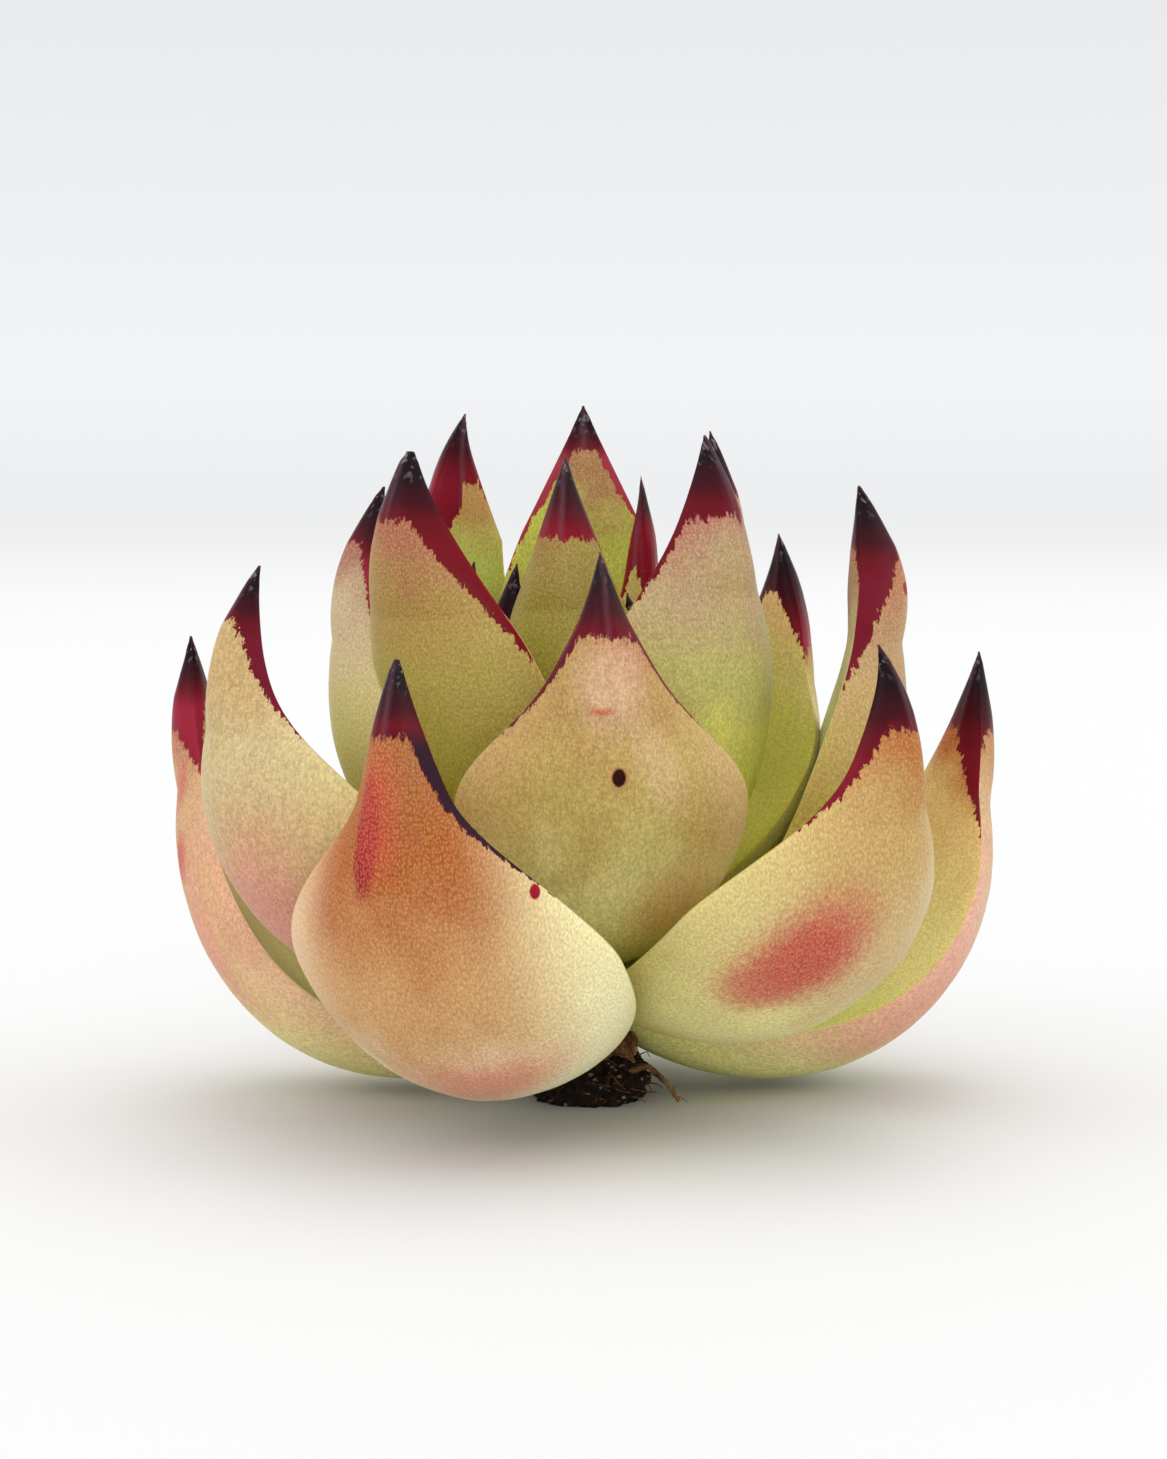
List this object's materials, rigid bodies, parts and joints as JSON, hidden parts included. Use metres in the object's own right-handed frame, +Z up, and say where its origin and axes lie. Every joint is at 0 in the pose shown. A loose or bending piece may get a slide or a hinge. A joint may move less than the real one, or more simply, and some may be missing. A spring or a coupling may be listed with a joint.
{
  "type": "succulent rosette lifted from its pot",
  "caption": "Compact cup-shaped rosette of thick pointed leaves on a short stem, standing on its own small clump of roots and soil.",
  "frame": {"origin": "middle of the root clump's flat underside, on the stem's axis", "axes": "+Z up along the stem, -Y towards the low front leaves"},
  "size_m": [0.083, 0.0832, 0.0685],
  "materials": {
    "outer_leaf_skin": "satin",
    "inner_leaf_skin": "satin",
    "stem_skin": "matte",
    "root_bark": "rough",
    "dark_soil": "rough",
    "withered_leaf": "rough"
  },
  "bodies": {
    "root": {"leaf_01": "outer_leaf_skin", "leaf_02": "outer_leaf_skin", "leaf_03": "outer_leaf_skin", "leaf_04": "outer_leaf_skin", "leaf_05": "outer_leaf_skin", "leaf_06": "outer_leaf_skin", "leaf_07": "outer_leaf_skin", "leaf_08": "inner_leaf_skin", "leaf_09": "inner_leaf_skin", "leaf_10": "inner_leaf_skin", "leaf_11": "inner_leaf_skin", "leaf_12": "inner_leaf_skin", "leaf_13": "inner_leaf_skin", "leaf_14": "inner_leaf_skin", "leaf_15": "inner_leaf_skin", "leaf_16": "inner_leaf_skin", "leaf_17": "inner_leaf_skin", "leaf_18": "inner_leaf_skin", "leaf_19": "inner_leaf_skin", "leaf_20": "inner_leaf_skin", "leaf_21": "inner_leaf_skin", "shoot_tip": "inner_leaf_skin", "stem": "stem_skin", "root_1": "root_bark", "root_2": "root_bark", "root_3": "root_bark", "root_clump": "dark_soil", "withered_leaf": "withered_leaf"}
  },
  "joints": []
}
